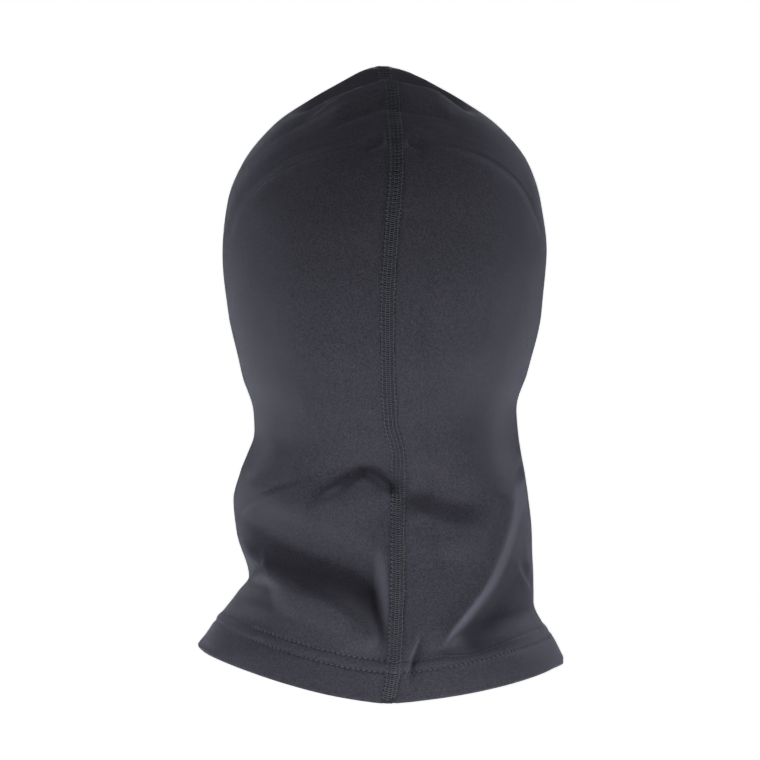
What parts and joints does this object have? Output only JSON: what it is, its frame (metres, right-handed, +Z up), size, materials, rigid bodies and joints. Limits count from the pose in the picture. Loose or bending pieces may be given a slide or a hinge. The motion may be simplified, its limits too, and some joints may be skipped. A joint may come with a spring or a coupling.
{
  "type": "balaclava",
  "caption": "Close-fitting stretch-knit balaclava that covers the head and neck, with a bound oval face opening, a flatlocked centre seam and a flared, coverstitched hem.",
  "frame": {"origin": "the point inside the crown that rests on the top of the wearer's head", "axes": "+Z up, -Y the way the face looks, +X towards the wearer's left ear"},
  "size_m": [0.1871, 0.2145, 0.3243],
  "materials": {
    "charcoal_knit": "matte knit, softly brushed inside",
    "charcoal_thread": "textured polyester sewing thread",
    "charcoal_binding": "matte elastic fold-over binding",
    "label_satin": "white satin ribbon"
  },
  "bodies": {
    "root": {"left_panel": "charcoal_knit", "right_panel": "charcoal_knit", "face_binding": "charcoal_binding", "care_label": "label_satin", "back_seam_needle_thread_1": "charcoal_thread", "back_seam_needle_thread_2": "charcoal_thread", "back_seam_needle_thread_3": "charcoal_thread", "back_seam_needle_thread_4": "charcoal_thread", "chin_seam_needle_thread_1": "charcoal_thread", "chin_seam_needle_thread_2": "charcoal_thread", "chin_seam_needle_thread_3": "charcoal_thread", "chin_seam_needle_thread_4": "charcoal_thread", "back_seam_cover_thread": "charcoal_thread", "back_seam_looper_thread": "charcoal_thread", "chin_seam_cover_thread": "charcoal_thread", "chin_seam_looper_thread": "charcoal_thread", "hem_needle_thread_lower": "charcoal_thread", "hem_needle_thread_upper": "charcoal_thread", "hem_looper_thread": "charcoal_thread", "binding_needle_thread_edge": "charcoal_thread", "binding_needle_thread_inner": "charcoal_thread", "binding_looper_thread": "charcoal_thread", "binding_bartack": "charcoal_thread", "care_label_stitch": "charcoal_thread"}
  },
  "joints": []
}
